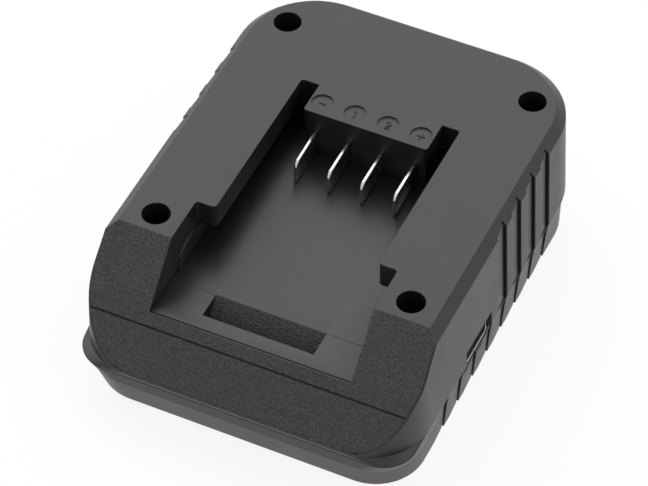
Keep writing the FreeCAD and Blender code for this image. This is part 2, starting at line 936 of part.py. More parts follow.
pieces = {
    "upper_cover": upper_cover(),
    "pocket_tray": pocket_tray(),
    "base_cover": base_cover(),
    "terminal_holder": terminal_holder(),
    "circuit_board": circuit_board(),
    "insulating_sheet": insulating_sheet(),
    "case_screws": case_screws(),
    "board_screws": board_screws(),
    "rubber_feet": rubber_feet(),
    "socket_shell": socket_shell(),
    "socket_tongue": socket_tongue(),
    "socket_contacts": socket_contacts(),
    "inlet_body": inlet_body(),
    "inlet_pin": inlet_pin(),
    "inductor_core": inductor_core(),
    "inductor_winding": inductor_winding(),
    "filter_capacitors": filter_capacitors(),
    "power_transistors": power_transistors(),
    "thermal_pad": thermal_pad(),
    "heat_sink": heat_sink(),
    "chip_capacitors": chip_capacitors(),
}
for name, values in block_parts.items():
    pieces[name] = chip(*values)
for number, place in enumerate(blade_places(), 1):
    pieces["terminal_blade_%d" % number] = blade(place)

os.makedirs("parts", exist_ok=True)
for name, shape in pieces.items():
    shape.exportStep("parts/" + name + ".step")
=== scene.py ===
import math

import bmesh
import bpy
import numpy as np
from bpy.props import FloatProperty, FloatVectorProperty, PointerProperty
from mathutils import Matrix, Vector


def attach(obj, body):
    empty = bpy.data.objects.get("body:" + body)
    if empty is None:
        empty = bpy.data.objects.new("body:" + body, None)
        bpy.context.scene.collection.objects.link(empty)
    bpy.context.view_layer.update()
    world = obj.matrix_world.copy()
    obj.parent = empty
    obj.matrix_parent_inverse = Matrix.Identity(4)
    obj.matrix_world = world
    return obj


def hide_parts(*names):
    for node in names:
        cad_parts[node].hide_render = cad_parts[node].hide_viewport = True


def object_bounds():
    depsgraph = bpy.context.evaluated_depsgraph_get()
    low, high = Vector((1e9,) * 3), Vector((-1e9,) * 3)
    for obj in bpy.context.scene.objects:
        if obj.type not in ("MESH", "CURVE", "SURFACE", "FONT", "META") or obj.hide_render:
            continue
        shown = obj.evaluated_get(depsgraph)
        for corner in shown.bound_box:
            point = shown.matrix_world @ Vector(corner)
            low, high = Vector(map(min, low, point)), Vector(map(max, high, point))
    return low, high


bl_info = {
    "name": "Battery Charging Dock",
    "version": (1, 0, 0),
    "blender": (4, 5, 0),
    "location": "3D View > Sidebar > Charging Dock",
    "description": "Dresses a slide-in battery charging dock and lights it in a white studio",
    "category": "Object",
}

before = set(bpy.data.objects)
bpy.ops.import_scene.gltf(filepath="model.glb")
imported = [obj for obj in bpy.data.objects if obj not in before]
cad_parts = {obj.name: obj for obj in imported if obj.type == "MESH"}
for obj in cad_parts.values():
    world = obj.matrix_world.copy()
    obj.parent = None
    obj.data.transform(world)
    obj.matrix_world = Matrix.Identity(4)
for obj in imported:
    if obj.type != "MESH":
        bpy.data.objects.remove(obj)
CASE_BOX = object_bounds()
MM = 0.001

MASK_REACH = 0.06 * MM
SATIN_DEPTH = 0.012 * MM
COARSE_ROUGHNESS = 0.62
SPECKLE_RANGE = (-0.75, 1.3)
# Painted highlight: how many times lighter than the base colour the strip along the slopes' ridge is.
RIDGE_HIGHLIGHT_LIFT = 4.0
BRUSH_DEPTH = 0.004 * MM
METAL_EDGE_RADIUS = 0.08 * MM
ROUGHNESS_SPREAD = (-0.08, 0.12)
SHARP_ANGLE = math.radians(35.0)
BEVEL_ANGLE = math.radians(30.0)
WELD_DISTANCE = 0.002 * MM
FLAT_ANGLE = math.radians(1.0)
LAMP_DISTANCE = 1.1


class CaseSettings(bpy.types.PropertyGroup):
    """Moulded plastic of the two covers, and where the coarse front faces lie."""

    colour: FloatVectorProperty(
        name="Colour", description="Base colour of the moulded plastic",
        subtype="COLOR", default=(0.0062, 0.0063, 0.0067), min=0.0, max=1.0,
    )
    roughness: FloatProperty(
        name="Roughness", description="Roughness of the satin faces",
        subtype="FACTOR", default=0.42, min=0.0, max=1.0,
    )
    specular: FloatProperty(
        name="Specular", description="Strength of the plastic's own reflection",
        subtype="FACTOR", default=0.5, min=0.0, max=1.0,
    )
    edge_radius: FloatProperty(
        name="Edge Radius", description="Radius that moulded edges catch light with",
        unit="LENGTH", default=0.25 * MM, min=0.0,
    )
    satin_grain: FloatProperty(
        name="Satin Grain", description="Width of one bump of the fine grain",
        unit="LENGTH", default=0.22 * MM, min=0.01 * MM,
    )
    coarse_grain: FloatProperty(
        name="Coarse Grain", description="Width of one bump of the coarse grain",
        unit="LENGTH", default=0.42 * MM, min=0.01 * MM,
    )
    coarse_depth: FloatProperty(
        name="Coarse Depth", description="Height of the bumps of the coarse grain",
        unit="LENGTH", default=0.22 * MM,
    )
    coarse_lift: FloatProperty(
        name="Coarse Lift", description="How much lighter the coarse faces look than the satin ones",
        default=3.4, min=0.0,
    )
    face_top_setback: FloatProperty(
        name="Slope Top", description="Upper edge of the slopes, behind the front of the case",
        unit="LENGTH", default=21.5 * MM,
    )
    ridge_setback: FloatProperty(
        name="Ridge Setback", description="Ridge between the two slopes, behind the front",
        unit="LENGTH", default=9.45 * MM,
    )
    ridge_drop: FloatProperty(
        name="Ridge Drop", description="Ridge between the two slopes, below the top face",
        unit="LENGTH", default=12.7 * MM,
    )
    floor_drop: FloatProperty(
        name="Floor Drop", description="Pocket floor, below the top face",
        unit="LENGTH", default=13.0 * MM,
    )
    latch_ramp_setback: FloatProperty(
        name="Latch Ramp", description="Foot of the latch ramp, behind the front of the case",
        unit="LENGTH", default=15.9 * MM,
    )
    latch_ramp_length: FloatProperty(
        name="Latch Ramp Length", description="Length of the latch ramp along the case",
        unit="LENGTH", default=4.6 * MM,
    )
    latch_depth: FloatProperty(
        name="Latch Depth", description="Depth of the latch recess below the pocket floor",
        unit="LENGTH", default=6.0 * MM,
    )
    belt_drop: FloatProperty(
        name="Belt Drop", description="Widest line of the case, below the top face",
        unit="LENGTH", default=25.85 * MM,
    )


class MetalSettings(bpy.types.PropertyGroup):
    """Blades, socket shell and screws."""

    blade_colour: FloatVectorProperty(
        name="Blade Colour", description="Plating of the contact blades",
        subtype="COLOR", default=(0.52, 0.50, 0.47), min=0.0, max=1.0,
    )
    steel_colour: FloatVectorProperty(
        name="Steel Colour", description="Plating of the socket shell and the screws",
        subtype="COLOR", default=(0.56, 0.55, 0.54), min=0.0, max=1.0,
    )
    brass_colour: FloatVectorProperty(
        name="Brass Colour", description="Springs of the side socket",
        subtype="COLOR", default=(0.72, 0.55, 0.27), min=0.0, max=1.0,
    )
    copper_colour: FloatVectorProperty(
        name="Copper Colour", description="Enamelled wire of the inductor",
        subtype="COLOR", default=(0.62, 0.28, 0.12), min=0.0, max=1.0,
    )
    roughness: FloatProperty(
        name="Roughness", description="Roughness of the plating",
        subtype="FACTOR", default=0.2, min=0.0, max=1.0,
    )


class StageSettings(bpy.types.PropertyGroup):
    """Camera, lamps and floor."""

    azimuth: FloatProperty(
        name="Azimuth", description="Camera's bearing, turned from the front towards the right",
        subtype="ANGLE", default=math.radians(25.305),
    )
    elevation: FloatProperty(
        name="Elevation", description="Camera's height above the horizon",
        subtype="ANGLE", default=math.radians(47.397),
    )
    roll: FloatProperty(
        name="Roll", description="Camera's turn about its own axis",
        subtype="ANGLE", default=math.radians(0.192),
    )
    distance: FloatProperty(
        name="Distance", description="From the camera to the point that it looks at",
        unit="LENGTH", default=804.5 * MM,
    )
    target: FloatVectorProperty(
        name="Target", description="Point that the camera looks at",
        subtype="TRANSLATION", unit="LENGTH", default=(6.718 * MM, -20.82 * MM, 40.5 * MM),
    )
    lens: FloatProperty(
        name="Lens", description="Focal length in millimetres, on a sensor 36 mm wide",
        default=196.74,
    )
    ambient: FloatProperty(
        name="Ambient", description="Strength of the room's even light",
        default=0.55, min=0.0,
    )
    floor_shadow: FloatProperty(
        name="Floor Shadow", description="How much of the shadow the white floor keeps",
        subtype="FACTOR", default=0.12, min=0.0, max=1.0,
    )


def feed(tree, socket, value):
    """Gives an input socket a plain value, or links another node's output to it."""
    if isinstance(value, bpy.types.NodeSocket):
        tree.links.new(value, socket)
    else:
        socket.default_value = value


def add_node(tree, kind, **inputs):
    """Node of that kind with its inputs fed by name, or by number as in i0."""
    made = tree.nodes.new(kind)
    for name, value in inputs.items():
        key = int(name[1:]) if name[1:].isdigit() else name.replace("_", " ")
        feed(tree, made.inputs[key], value)
    return made


def math_node(tree, operation, first, second=0.0):
    """Result of one sum on two values."""
    made = add_node(tree, "ShaderNodeMath", i0=first, i1=second)
    made.operation = operation
    return made.outputs[0]


def ramp(tree, value, low, high, start=0.0, end=1.0):
    """Linear rise from start to end while value goes from low to high."""
    made = add_node(tree, "ShaderNodeMapRange", i0=value, i1=low, i2=high, i3=start, i4=end)
    return made.outputs[0]


def mix_colour(tree, mask, first, second):
    """First colour where the mask is 0, second where it is 1."""
    made = tree.nodes.new("ShaderNodeMix")
    made.data_type = "RGBA"
    for key, value in ((0, mask), (6, first), (7, second)):
        feed(tree, made.inputs[key], value)
    return made.outputs[2]


def mix_value(tree, mask, first, second):
    """First value where the mask is 0, second where it is 1."""
    return add_node(tree, "ShaderNodeMix", i0=mask, i2=first, i3=second).outputs[0]


def effect_group(name, inputs, outputs):
    """Empty shader node group with named inputs and outputs; returns tree, input and output nodes."""
    tree = bpy.data.node_groups.new(name, "ShaderNodeTree")
    for label, kind, default in inputs:
        socket = tree.interface.new_socket(name=label, in_out="INPUT", socket_type=kind)
        socket.default_value = default
    for label, kind in outputs:
        tree.interface.new_socket(name=label, in_out="OUTPUT", socket_type=kind)
    return tree, tree.nodes.new("NodeGroupInput"), tree.nodes.new("NodeGroupOutput")


def use_group(tree, group, **inputs):
    """Outputs of an effect group placed in a material with its own values."""
    made = tree.nodes.new("ShaderNodeGroup")
    made.node_tree = group
    for name, value in inputs.items():
        feed(tree, made.inputs[name], value)
    return made.outputs


def build_grain_group():
    """Spark-eroded grain: rounded cells broken up by noise, in object space."""
    tree, given, result = effect_group(
        "Moulded Grain",
        [("Size", "NodeSocketFloat", 0.3 * MM), ("Sharpness", "NodeSocketFloat", 0.5)],
        [("Height", "NodeSocketFloat"), ("Speckle", "NodeSocketFloat")],
    )
    place = tree.nodes.new("ShaderNodeTexCoord").outputs["Object"]
    density = math_node(tree, "DIVIDE", 1.0, given.outputs["Size"])
    cells = add_node(tree, "ShaderNodeTexVoronoi", Vector=place, Scale=density)
    cells.feature = "SMOOTH_F1"
    cells.inputs["Smoothness"].default_value = 0.35
    noise = add_node(tree, "ShaderNodeTexNoise", Vector=place, Scale=density, Detail=2.0)
    pits = ramp(tree, noise.outputs["Fac"], 0.35, 0.68)
    mixed = mix_value(tree, given.outputs["Sharpness"], cells.outputs["Distance"], pits)
    tree.links.new(mixed, result.inputs["Height"])
    tree.links.new(pits, result.inputs["Speckle"])
    return tree


def build_haze_group():
    """Slow drift of tone and gloss, as handling and mould flow leave on plastic or plating."""
    tree, given, result = effect_group(
        "Surface Haze",
        [("Size", "NodeSocketFloat", 10.0 * MM), ("Amount", "NodeSocketFloat", 0.1)],
        [("Tone", "NodeSocketFloat")],
    )
    place = tree.nodes.new("ShaderNodeTexCoord").outputs["Object"]
    density = math_node(tree, "DIVIDE", 1.0, given.outputs["Size"])
    noise = add_node(tree, "ShaderNodeTexNoise", Vector=place, Scale=density, Detail=4.0)
    centred = math_node(tree, "SUBTRACT", noise.outputs["Fac"], 0.5)
    scaled = math_node(tree, "MULTIPLY", centred, given.outputs["Amount"])
    tree.links.new(scaled, result.inputs["Tone"])
    return tree


def build_dust_group():
    """Sparse light specks of dust."""
    tree, given, result = effect_group(
        "Dust Specks",
        [("Spacing", "NodeSocketFloat", 4.0 * MM), ("Speck", "NodeSocketFloat", 0.04)],
        [("Mask", "NodeSocketFloat")],
    )
    place = tree.nodes.new("ShaderNodeTexCoord").outputs["Object"]
    density = math_node(tree, "DIVIDE", 1.0, given.outputs["Spacing"])
    cells = add_node(tree, "ShaderNodeTexVoronoi", Vector=place, Scale=density, Randomness=1.0)
    near = math_node(tree, "LESS_THAN", cells.outputs["Distance"], given.outputs["Speck"])
    tree.links.new(near, result.inputs["Mask"])
    return tree


def build_brush_group():
    """Fine drawn lines along one axis, as rolled or plated strip has."""
    tree, given, result = effect_group(
        "Drawn Lines",
        [("Stretch", "NodeSocketVector", (1.0, 1.0, 1.0))],
        [("Height", "NodeSocketFloat")],
    )
    place = tree.nodes.new("ShaderNodeTexCoord").outputs["Object"]
    scaled = tree.nodes.new("ShaderNodeVectorMath")
    scaled.operation = "MULTIPLY"
    tree.links.new(place, scaled.inputs[0])
    tree.links.new(given.outputs["Stretch"], scaled.inputs[1])
    noise = add_node(tree, "ShaderNodeTexNoise", Vector=scaled.outputs[0], Scale=1.0, Detail=3.0)
    tree.links.new(noise.outputs["Fac"], result.inputs["Height"])
    return tree


def effects():
    """The shared effect groups, built on first use."""
    makers = {
        "Moulded Grain": build_grain_group,
        "Surface Haze": build_haze_group,
        "Dust Specks": build_dust_group,
        "Drawn Lines": build_brush_group,
    }
    return {name: bpy.data.node_groups.get(name) or make() for name, make in makers.items()}


def new_material(name):
    """Material with a bare Principled BSDF; returns material, tree and shader."""
    material = bpy.data.materials.new(name)
    material.use_nodes = True
    tree = material.node_tree
    return material, tree, tree.nodes["Principled BSDF"]


def shift_tone(tree, colour, tone):
    """Colour made lighter or darker by a tone around nought."""
    factor = math_node(tree, "ADD", tone, 1.0)
    scaled = tree.nodes.new("ShaderNodeVectorMath")
    scaled.operation = "SCALE"
    scaled.inputs[0].default_value = colour
    tree.links.new(factor, scaled.inputs["Scale"])
    return scaled.outputs[0]


def slab_mask(tree, place, point, normal):
    """1 on the plane through point with that normal, within a small reach, else 0."""
    unit = Vector(normal).normalized()
    product = tree.nodes.new("ShaderNodeVectorMath")
    product.operation = "DOT_PRODUCT"
    tree.links.new(place, product.inputs[0])
    product.inputs[1].default_value = unit
    offset = math_node(tree, "SUBTRACT", product.outputs["Value"], unit.dot(Vector(point)))
    away = math_node(tree, "ABSOLUTE", offset)
    return math_node(tree, "LESS_THAN", away, MASK_REACH)


def rounded_normal(tree, shader, height, radius):
    """Bumps on edges of that radius, fed to the shader's Normal."""
    rounding = tree.nodes.new("ShaderNodeBevel")
    rounding.samples = 6
    rounding.inputs["Radius"].default_value = radius
    bump = add_node(tree, "ShaderNodeBump", Height=height, Normal=rounding.outputs[0])
    bump.inputs["Strength"].default_value = 1.0
    bump.inputs["Distance"].default_value = 1.0
    tree.links.new(bump.outputs[0], shader.inputs["Normal"])


def plastic_material(name, case, coarse_mask=None, roughness=None, colour=None):
    """Satin moulded plastic with fine grain, and coarse grain wherever the mask builder puts it, with a
    painted highlight on the builder's ridge strip.
    """
    group = effects()
    material, tree, shader = new_material(name)
    place = tree.nodes.new("ShaderNodeTexCoord").outputs["Object"]
    fine = use_group(tree, group["Moulded Grain"], Size=case.satin_grain, Sharpness=0.6)
    haze = use_group(tree, group["Surface Haze"], Size=14.0 * MM, Amount=0.1)
    dust = use_group(tree, group["Dust Specks"], Spacing=7.0 * MM, Speck=0.018)
    base = list(colour or case.colour)
    tone = shift_tone(tree, base, haze["Tone"])
    gloss = math_node(tree, "ADD", haze["Tone"], roughness or case.roughness)
    height = math_node(tree, "MULTIPLY", fine["Height"], SATIN_DEPTH)
    if coarse_mask:
        mask, ridge_highlight = coarse_mask(tree, place)
        coarse = use_group(tree, group["Moulded Grain"], Size=case.coarse_grain, Sharpness=0.75)
        deep = math_node(tree, "MULTIPLY", coarse["Height"], case.coarse_depth)
        height = mix_value(tree, mask, height, deep)
        light = ramp(tree, coarse["Speckle"], 0.0, 1.0, *SPECKLE_RANGE)
        grained = shift_tone(tree, [case.coarse_lift * part for part in base], light)
        tone = mix_colour(tree, mask, tone, grained)
        # Painted highlight: a lighter colour on the strip along the ridge between the two slopes.
        highlight_colour = [RIDGE_HIGHLIGHT_LIFT * part for part in base] + [1.0]
        tone = mix_colour(tree, ridge_highlight, tone, highlight_colour)
        gloss = mix_value(tree, mask, gloss, COARSE_ROUGHNESS)
    speck = [math.sqrt(part) for part in base] + [1.0]
    tree.links.new(mix_colour(tree, dust["Mask"], tone, speck), shader.inputs["Base Color"])
    tree.links.new(gloss, shader.inputs["Roughness"])
    rounded_normal(tree, shader, height, case.edge_radius)
    shader.inputs["Specular IOR Level"].default_value = case.specular
    return material


def slope_mask(case):
    """Mask builder for the coarse front slopes, and for the strip at their ridge that gets a painted
    highlight.
    """
    low, high = CASE_BOX
    ridge = Vector((0.0, low[1] + case.ridge_setback, high[2] - case.ridge_drop))
    crown = Vector((0.0, low[1] + case.face_top_setback, high[2]))
    belt = Vector((0.0, low[1], high[2] - case.belt_drop))
    upper = (0.0, ridge.z - crown.z, crown.y - ridge.y)
    lower = (0.0, belt.z - ridge.z, ridge.y - belt.y)

    def build(tree, place):
        first = slab_mask(tree, place, ridge, upper)
        second = slab_mask(tree, place, ridge, lower)
        coarse = math_node(tree, "MAXIMUM", first, second)
        # Where both slope masks meet: the ridge strip that gets a painted highlight.
        ridge_highlight = math_node(tree, "MINIMUM", first, second)
        return coarse, ridge_highlight

    return build


def latch_mask(case):
    """Mask builder for the ramp of the latch recess in the pocket floor."""
    low, high = CASE_BOX
    foot = Vector((0.0, low[1] + case.latch_ramp_setback, high[2] - case.floor_drop - case.latch_depth))
    normal = (0.0, -case.latch_depth, case.latch_ramp_length)

    def build(tree, place):
        return slab_mask(tree, place, foot, normal), 0.0

    return build


def metal_material(name, colour, roughness, stretch):
    """Plated or drawn metal with lines along one axis and drifting gloss."""
    group = effects()
    material, tree, shader = new_material(name)
    haze = use_group(tree, group["Surface Haze"], Size=3.0 * MM, Amount=0.3)
    lines = use_group(tree, group["Drawn Lines"], Stretch=stretch)
    tree.links.new(shift_tone(tree, list(colour), haze["Tone"]), shader.inputs["Base Color"])
    smoothest, roughest = (roughness + spread for spread in ROUGHNESS_SPREAD)
    rough = ramp(tree, lines["Height"], 0.3, 0.7, smoothest, roughest)
    tree.links.new(rough, shader.inputs["Roughness"])
    height = math_node(tree, "MULTIPLY", lines["Height"], BRUSH_DEPTH)
    rounded_normal(tree, shader, height, METAL_EDGE_RADIUS)
    shader.inputs["Metallic"].default_value = 1.0
    return material


def dress(node_names, material):
    """Gives CAD nodes that material in all their slots."""
    for name in node_names:
        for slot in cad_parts[name].material_slots:
            slot.material = material


def node_box(name):
    """Lowest and highest corner of a CAD node."""
    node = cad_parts[name]
    corners = np.array([node.matrix_world @ Vector(corner) for corner in node.bound_box])
    return corners.min(axis=0), corners.max(axis=0)


def add_piece(name, mesh, material, replaced=()):
    """Object of that mesh on the dock, in the place of the CAD nodes that it stands for."""
    mesh.set_sharp_from_angle(angle=SHARP_ANGLE)
    mesh.materials.append(material)
    made = bpy.data.objects.new(name, mesh)
    bpy.context.collection.objects.link(made)
    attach(made, "root")
    for node in replaced:
        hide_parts(node)
    return made


def skin_piece(name, shells, material, replaced=()):
    """Piece of closed shells, each a stack of rings of points capped at both ends."""
    points = []
    faces = []
    for rings in shells:
        rings = np.asarray(rings, dtype=float)
        count, width = rings.shape[:2]
        start = sum(len(part) for part in points)
        base = start + np.arange(width)
        for row in range(count - 1):
            low = base + row * width
            high = low + width
            faces += np.column_stack([low, np.roll(low, -1), np.roll(high, -1), high]).tolist()
        faces.append(base[::-1].tolist())
        faces.append((base + (count - 1) * width).tolist())
        points.append(rings.reshape(-1, 3))
    mesh = bpy.data.meshes.new(name)
    mesh.from_pydata(np.vstack(points).tolist(), [], faces)
    mesh.shade_smooth()
    return add_piece(name, mesh, material, replaced)


def turned(centre, profile, sides=48):
    """Rings of a turned shell: profile of (radius, height) pairs about an upright axis, in metres."""
    angles = np.linspace(0.0, 2.0 * math.pi, sides, endpoint=False)
    circle = np.column_stack([np.cos(angles), np.sin(angles), np.zeros(sides)])
    return [np.asarray(centre) + radius * circle + (0.0, 0.0, height) for radius, height in profile]


def softened_piece(node, material, radius):
    """Copy of a CAD node with its sharp edges rounded, shown in its place."""
    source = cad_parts[node]
    work = bmesh.new()
    work.from_mesh(source.data)
    work.transform(source.matrix_world)
    bmesh.ops.remove_doubles(work, verts=work.verts, dist=WELD_DISTANCE)
    bmesh.ops.dissolve_limit(work, angle_limit=FLAT_ANGLE, verts=work.verts, edges=work.edges)
    sharp = [edge for edge in work.edges if edge.is_manifold and edge.calc_face_angle() > BEVEL_ANGLE]
    bmesh.ops.bevel(
        work, geom=sharp, offset=radius, segments=3, profile=0.5, affect="EDGES", clamp_overlap=True
    )
    mesh = bpy.data.meshes.new(node + "_finished")
    work.to_mesh(mesh)
    work.free()
    mesh.shade_smooth()
    return add_piece(node + "_finished", mesh, material, [node])


def inset_outline(points, distance):
    """Anticlockwise outline moved inwards, corner by corner."""
    ahead = np.roll(points, -1, axis=0) - points
    normal = np.column_stack([-ahead[:, 1], ahead[:, 0]]) / np.linalg.norm(ahead, axis=1)[:, None]
    mitre = normal + np.roll(normal, 1, axis=0)
    mitre /= (mitre * normal).sum(axis=1)[:, None]
    return points + mitre * distance


def raised_mark(outline, centre, rise, edge):
    """Rings of a flat mark with a chamfered rim that stands on centre."""
    base = np.asarray(outline, dtype=float)
    rows = []
    for inset, height in ((0.0, -0.5 * rise), (0.0, rise - edge), (edge, rise)):
        flat = inset_outline(base, inset)
        rows.append(np.column_stack([flat, np.full(len(flat), height)]) + centre)
    return rows


def line_outline(points, half):
    """Anticlockwise outline of a line of that half width along the points."""
    points = np.asarray(points, dtype=float)
    ahead = np.gradient(points, axis=0)
    side = np.column_stack([ahead[:, 1], -ahead[:, 0]]) / np.linalg.norm(ahead, axis=1)[:, None]
    return np.vstack([points + side * half, (points - side * half)[::-1]])


def polarity_marks():
    """Outlines of minus, one, two and plus, 2.2 mm high, in metres."""
    half = 0.17
    arm = 0.95
    bend = np.linspace(math.radians(160.0), math.radians(-40.0), 14)
    two = np.column_stack([0.55 * np.cos(bend), 0.45 + 0.55 * np.sin(bend)])
    two = np.vstack([two, [(-0.1, -0.5), (-0.55, -0.95), (-0.5, -1.05), (-0.2, -1.05), (0.65, -1.05)]])
    cross = [
        (half, -arm), (half, -half), (arm, -half), (arm, half), (half, half), (half, arm),
        (-half, arm), (-half, half), (-arm, half), (-arm, -half), (-half, -half), (-half, -arm),
    ]
    marks = [
        line_outline([(-0.85, 0.0), (0.85, 0.0)], half),
        line_outline([(-0.45, 0.6), (-0.12, 0.86), (0.0, 0.95), (0.0, 0.6), (0.0, -1.05)], half),
        line_outline(two, half),
        cross,
    ]
    return [np.asarray(mark) * MM for mark in marks]


def mark_shells():
    """The polarity marks, each standing in the disc behind its own blade."""
    disc_setback = 3.5 * MM
    disc_depth = 0.4 * MM
    shells = []
    holder_front = node_box("terminal_holder")[0][1]
    for number, mark in enumerate(polarity_marks(), 1):
        blade_low, blade_high = node_box("terminal_blade_%d" % number)
        x = (blade_low[0] + blade_high[0]) / 2
        centre = (x, holder_front + disc_setback, CASE_BOX[1][2] - disc_depth)
        shells.append(raised_mark(mark, centre, rise=0.22 * MM, edge=0.05 * MM))
    return shells


def foot_shells():
    """Four round feet, cupped underneath, at the corners of the node that they stand for."""
    low, high = node_box("rubber_feet")
    radius = 5.0 * MM
    profile = [
        (3.3, 0.3), (3.6, 0.05), (3.8, 0.0), (4.3, 0.0), (4.7, 0.15), (4.95, 0.5), (5.0, 1.0), (5.0, 2.0),
    ]
    profile = [(ring * MM, rise * MM) for ring, rise in profile]
    return [
        turned((x, y, low[2]), profile)
        for x in (low[0] + radius, high[0] - radius)
        for y in (low[1] + radius, high[1] - radius)
    ]


def capacitor_shells():
    """Three aluminium cans with a rolled groove near the foot and a crimped top."""
    low, high = node_box("filter_capacitors")
    radius = (high[0] - low[0]) / 2
    tall = high[2] - low[2]
    profile = [
        (0.9, 0.0), (0.98, 0.02), (1.0, 0.05), (1.0, 0.1), (0.95, 0.135), (1.0, 0.17), (1.0, 0.95),
        (0.98, 0.985), (0.93, 1.0), (0.86, 0.995), (0.83, 0.98), (0.1, 0.98),
    ]
    profile = [(radius * ring, tall * rise) for ring, rise in profile]
    return [
        turned((low[0] + radius, y, low[2]), profile)
        for y in np.linspace(low[1] + radius, high[1] - radius, 3)
    ]


def lead_shells(node, per_side):
    """Gull-wing leads along both long sides of a chip."""
    shoulder = 0.6 * MM
    low, high = node_box(node)
    shells = []
    for x in np.linspace(low[0], high[0], per_side + 2)[1:-1]:
        for y, side in ((low[1], -1.0), (high[1], 1.0)):
            start = (x, y, low[2] + shoulder)
            shells.append(lead_rings(start, (0.0, side), low[2], width=0.35 * MM, thickness=0.15 * MM))
    return shells


def winding_rings(low, high):
    """Three layers of round wire wound up, down and up again on the core."""
    wire = 0.39 * MM
    first_radius = 4.6 * MM
    layer_pitch = 0.86 * MM
    climb_share = 0.04
    turns = 8
    layers = 3
    steps_per_turn = 24
    steps = turns * layers * steps_per_turn
    travel = np.linspace(0.0, layers, steps)
    layer = np.minimum(travel.astype(int), layers - 1)
    part = travel - layer
    rise = np.where(layer % 2 == 0, part, 1.0 - part)
    height = low[2] + wire + rise * (high[2] - low[2] - 2.0 * wire)
    climb = np.clip((part - 1.0 + climb_share) / climb_share, 0.0, 1.0)
    radius = first_radius + layer_pitch * (layer + climb * (layer < layers - 1))
    turn = travel * turns * 2.0 * math.pi
    section = np.linspace(0.0, 2.0 * math.pi, 8, endpoint=False)
    reach = radius[:, None] + wire * np.cos(section)
    middle = (low + high) / 2
    return np.stack([
        middle[0] + reach * np.cos(turn)[:, None],
        middle[1] + reach * np.sin(turn)[:, None],
        height[:, None] - wire * np.sin(section),
    ], axis=-1)


def spring_rings(x0, x1, y, top, width, thickness):
    """Contact spring: a strip along X with a rounded crown near its free end."""
    crown_place = 0.78
    crown_spread = 0.1
    crown_height = 0.28 * MM
    half = width / 2
    along = np.linspace(0.0, 1.0, 25)
    crown = np.exp(-((along - crown_place) / crown_spread) ** 2) * crown_height
    rows = []
    for step, drop in zip(along, crown):
        x = x0 + (x1 - x0) * step
        high = top - drop
        low = high - thickness
        rows.append([(x, y - half, low), (x, y + half, low), (x, y + half, high), (x, y - half, high)])
    return rows


def lead_rings(start, outward, level, width, thickness):
    """Gull-wing lead of a chip, from its side down to the board."""
    across = np.array([-outward[1], outward[0], 0.0]) * width / 2
    outward = np.array([outward[0], outward[1], 0.0])
    below = np.array([0.0, 0.0, -thickness])
    drop = start[2] - level
    path = [(0.0, 0.0), (0.25, 0.0), (0.4, -0.12), (0.5, -0.88), (0.62, -1.0), (0.95, -1.0)]
    rows = []
    for out, down in path:
        centre = np.asarray(start) + outward * out * MM + (0.0, 0.0, down * (drop - thickness))
        rows.append([centre + across, centre - across, centre - across + below, centre + across + below])
    return rows


class DOCK_OT_case(bpy.types.Operator):
    """Finish the upper and the base cover in grained black plastic"""

    bl_idname = "dock.case"
    bl_label = "Case Covers"

    def execute(self, context):
        case = context.scene.dock_case
        cover = plastic_material("Cover Plastic", case, slope_mask(case))
        base = plastic_material("Base Plastic", case)
        tray = plastic_material("Tray Plastic", case, latch_mask(case), roughness=0.33)
        dress(["upper_cover"], cover)
        softened_piece("pocket_tray", tray, 0.12 * MM)
        dress(["base_cover"], base)
        rubber = plastic_material("Foot Rubber", case, roughness=0.75, colour=(0.012, 0.012, 0.012))
        skin_piece("rubber_foot_pads", foot_shells(), rubber, ["rubber_feet"])
        skin_piece("polarity_marks", mark_shells(), cover)
        return {"FINISHED"}


class DOCK_OT_contacts(bpy.types.Operator):
    """Finish the contact blades and the block that holds them"""

    bl_idname = "dock.contacts"
    bl_label = "Contact Blades"

    def execute(self, context):
        metal = context.scene.dock_metal
        blade = metal_material("Blade Plating", metal.blade_colour, metal.roughness, (300.0, 900.0, 9000.0))
        for number in range(1, 5):
            softened_piece("terminal_blade_%d" % number, blade, 0.2 * MM)
        case = context.scene.dock_case
        # Painted shade: this base colour is darker than the covers' to stand in for the shade of the pocket
        # around the terminal block; the socket tongue and inlet body share it.
        holder = plastic_material("Holder Plastic", case, roughness=0.45, colour=(0.004, 0.004, 0.004))
        for node in ("terminal_holder", "socket_tongue", "inlet_body"):
            softened_piece(node, holder, 0.15 * MM)
        return {"FINISHED"}


class DOCK_OT_sockets(bpy.types.Operator):
    """Finish the side socket, the power inlet and the screws"""

    bl_idname = "dock.sockets"
    bl_label = "Sockets and Screws"

    def execute(self, context):
        metal = context.scene.dock_metal
        steel = metal_material("Plated Steel", metal.steel_colour, metal.roughness, (900.0, 9000.0, 9000.0))
        dress(["socket_shell", "inlet_pin", "case_screws", "board_screws"], steel)
        brass = metal_material("Contact Brass", metal.brass_colour, 0.28, (900.0, 9000.0, 9000.0))
        low, high = node_box("socket_contacts")
        width = 1.0 * MM
        springs = [
            spring_rings(low[0], high[0], y, high[2], width, thickness=0.2 * MM)
            for y in np.linspace(low[1] + width / 2, high[1] - width / 2, 4)
        ]
        skin_piece("socket_springs", springs, brass, ["socket_contacts"])
        return {"FINISHED"}


